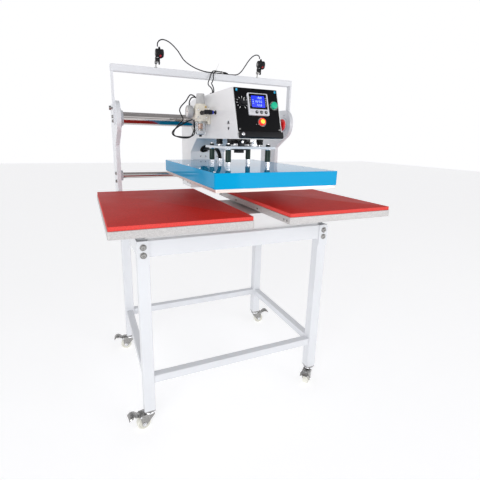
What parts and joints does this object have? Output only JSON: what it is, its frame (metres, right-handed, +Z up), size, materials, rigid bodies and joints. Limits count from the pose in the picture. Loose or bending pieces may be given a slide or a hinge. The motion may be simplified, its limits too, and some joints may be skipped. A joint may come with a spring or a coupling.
{
  "type": "heat press",
  "caption": "Pneumatic heat press on a castered stand: a sliding head arm carries a blue-covered heating plate between two padded tables, with laser aiming lights.",
  "frame": {"origin": "on the floor, under the middle of the whole machine", "axes": "+X to the right as the operator faces it, +Y to the back, +Z up"},
  "size_m": [0.928, 0.794, 1.4031],
  "materials": {
    "white_paint": "powder coat",
    "zinc_steel": "zinc plated",
    "table_plate": "brushed",
    "red_silicone": "matte silicone",
    "chrome": "hard chrome",
    "dark_steel": "blackened",
    "laser_black": "moulded",
    "wheel_cream": "moulded nylon",
    "panel_black": "glossy sheet",
    "bezel_silver": "painted",
    "lcd_blue": "lit display",
    "black_plastic": "moulded",
    "push_green": "lit lens",
    "push_red": "lit lens",
    "stop_red": "moulded",
    "regulator_cream": "painted die-casting",
    "knob_grey": "moulded",
    "gauge_dark": "moulded",
    "bowl_clear": "clear polycarbonate",
    "cylinder_black": "black anodised",
    "cover_blue": "gloss enamel",
    "heating_alloy": "machined casting",
    "cable_black": "jacket"
  },
  "bodies": {
    "stand": {"legs": "white_paint", "top_rails": "white_paint", "low_rails": "white_paint", "corner_plates": "white_paint", "frame_bolts": "zinc_steel", "bed_tray": "white_paint", "table_base_left": "table_plate", "table_base_right": "table_plate", "pad_left": "red_silicone", "pad_right": "red_silicone", "upright_left": "white_paint", "upright_right": "white_paint", "guide_tube": "chrome", "guide_rod": "chrome", "guide_flanges": "dark_steel", "laser_frame": "white_paint", "caster_plates": "zinc_steel", "cable_left": "cable_black", "cable_right": "cable_black", "cable_trunk": "cable_black"},
    "laser_left": {"laser_left": "laser_black"},
    "laser_right": {"laser_right": "laser_black"},
    "carriage": {"arm_shell": "white_paint", "control_panel": "panel_black", "controller_bezel": "bezel_silver", "lcd": "lcd_blue", "carriage_trim": "zinc_steel", "handle_bar": "panel_black", "regulator_body": "regulator_cream", "gauge": "gauge_dark", "bowl": "bowl_clear", "black_fittings": "black_plastic", "cylinder": "cylinder_black", "air_tubes": "cable_black"},
    "press": {"pressure_plate": "white_paint", "posts": "cylinder_black", "press_rods": "zinc_steel", "platen_cover": "cover_blue", "heating_plate": "heating_alloy", "conduit": "cable_black"},
    "key_left": {"key_left": "black_plastic"},
    "key_mid": {"key_mid": "black_plastic"},
    "key_right": {"key_right": "black_plastic"},
    "button_green": {"button_green": "push_green"},
    "button_red": {"button_red": "push_red"},
    "timer_knob": {"timer_knob": "black_plastic"},
    "stop_button": {"estop": "stop_red"},
    "regulator_knob": {"regulator_knob": "knob_grey"},
    "caster_fl": {"caster_fork_fl": "zinc_steel"},
    "wheel_fl": {"caster_wheel_fl": "wheel_cream"},
    "pedal_fl": {"caster_pedal_fl": "zinc_steel"},
    "caster_fr": {"caster_fork_fr": "zinc_steel"},
    "wheel_fr": {"caster_wheel_fr": "wheel_cream"},
    "pedal_fr": {"caster_pedal_fr": "zinc_steel"},
    "caster_rl": {"caster_fork_rl": "zinc_steel"},
    "wheel_rl": {"caster_wheel_rl": "wheel_cream"},
    "pedal_rl": {"caster_pedal_rl": "zinc_steel"},
    "caster_rr": {"caster_fork_rr": "zinc_steel"},
    "wheel_rr": {"caster_wheel_rr": "wheel_cream"},
    "pedal_rr": {"caster_pedal_rr": "zinc_steel"}
  },
  "joints": [
    {"name": "carriage_slide", "type": "slide", "parent": "stand", "child": "carriage", "axis": [1, 0, 0], "range_m": [-0.282, 0.242], "deforming": ["cable_trunk"]},
    {"name": "press_stroke", "type": "slide", "parent": "carriage", "child": "press", "axis": [0, 0, -1], "range_m": [0, 0.0715], "deforming": ["conduit"]},
    {"name": "laser_left_tilt", "type": "hinge", "parent": "stand", "child": "laser_left", "pos_m": [-0.218, 0.174, 1.318], "axis": [1, 0, 0], "range_deg": [-20, 20], "deforming": ["cable_left"]},
    {"name": "laser_right_tilt", "type": "hinge", "parent": "stand", "child": "laser_right", "pos_m": [0.218, 0.174, 1.318], "axis": [1, 0, 0], "range_deg": [-20, 20], "deforming": ["cable_right"]},
    {"name": "key_left_push", "type": "slide", "parent": "carriage", "child": "key_left", "axis": [0, 0.9438, -0.3306], "range_m": [0, 0.0012], "stiffness_N_per_m": 400},
    {"name": "key_mid_push", "type": "slide", "parent": "carriage", "child": "key_mid", "axis": [0, 0.9438, -0.3306], "range_m": [0, 0.0012], "stiffness_N_per_m": 400},
    {"name": "key_right_push", "type": "slide", "parent": "carriage", "child": "key_right", "axis": [0, 0.9438, -0.3306], "range_m": [0, 0.0012], "stiffness_N_per_m": 400},
    {"name": "button_green_push", "type": "slide", "parent": "carriage", "child": "button_green", "axis": [0, 0.9438, -0.3306], "range_m": [0, 0.003], "stiffness_N_per_m": 600},
    {"name": "button_red_push", "type": "slide", "parent": "carriage", "child": "button_red", "axis": [0, 0.9438, -0.3306], "range_m": [0, 0.003], "stiffness_N_per_m": 600},
    {"name": "stop_push", "type": "slide", "parent": "carriage", "child": "stop_button", "axis": [-1, 0, 0], "range_m": [0, 0.004]},
    {"name": "timer_turn", "type": "hinge", "parent": "carriage", "child": "timer_knob", "pos_m": [-0.032, -0.22365, 1.14948], "axis": [0, -0.9438, 0.3306], "range_deg": [-140, 140]},
    {"name": "regulator_turn", "type": "hinge", "parent": "carriage", "child": "regulator_knob", "pos_m": [-0.094, 0.005, 1.17], "axis": [0, 0, 1], "continuous": true},
    {"name": "swivel_fl", "type": "hinge", "parent": "stand", "child": "caster_fl", "pos_m": [-0.35, -0.172, 0.06], "axis": [0, 0, 1], "continuous": true},
    {"name": "roll_fl", "type": "hinge", "parent": "caster_fl", "child": "wheel_fl", "pos_m": [-0.37377, -0.17534, 0.025], "axis": [0.1392, -0.9903, 0], "continuous": true},
    {"name": "brake_fl", "type": "hinge", "parent": "caster_fl", "child": "pedal_fl", "pos_m": [-0.38565, -0.17701, 0.0595], "axis": [0.1392, -0.9903, 0], "range_deg": [-12, 12]},
    {"name": "swivel_fr", "type": "hinge", "parent": "stand", "child": "caster_fr", "pos_m": [0.35, -0.172, 0.06], "axis": [0, 0, 1], "continuous": true},
    {"name": "roll_fr", "type": "hinge", "parent": "caster_fr", "child": "wheel_fr", "pos_m": [0.33216, -0.18806, 0.025], "axis": [0.6691, -0.7431, 0], "continuous": true},
    {"name": "brake_fr", "type": "hinge", "parent": "caster_fr", "child": "pedal_fr", "pos_m": [0.32325, -0.19609, 0.0595], "axis": [0.6691, -0.7431, 0], "range_deg": [-12, 12]},
    {"name": "swivel_rl", "type": "hinge", "parent": "stand", "child": "caster_rl", "pos_m": [-0.35, 0.363, 0.06], "axis": [0, 0, 1], "continuous": true},
    {"name": "roll_rl", "type": "hinge", "parent": "caster_rl", "child": "wheel_rl", "pos_m": [-0.37377, 0.36634, 0.025], "axis": [-0.1392, -0.9903, 0], "continuous": true},
    {"name": "brake_rl", "type": "hinge", "parent": "caster_rl", "child": "pedal_rl", "pos_m": [-0.38565, 0.36801, 0.0595], "axis": [-0.1392, -0.9903, 0], "range_deg": [-12, 12]},
    {"name": "swivel_rr", "type": "hinge", "parent": "stand", "child": "caster_rr", "pos_m": [0.35, 0.363, 0.06], "axis": [0, 0, 1], "continuous": true},
    {"name": "roll_rr", "type": "hinge", "parent": "caster_rr", "child": "wheel_rr", "pos_m": [0.37377, 0.35966, 0.025], "axis": [0.1392, 0.9903, 0], "continuous": true},
    {"name": "brake_rr", "type": "hinge", "parent": "caster_rr", "child": "pedal_rr", "pos_m": [0.38565, 0.35799, 0.0595], "axis": [0.1392, 0.9903, 0], "range_deg": [-12, 12]}
  ]
}
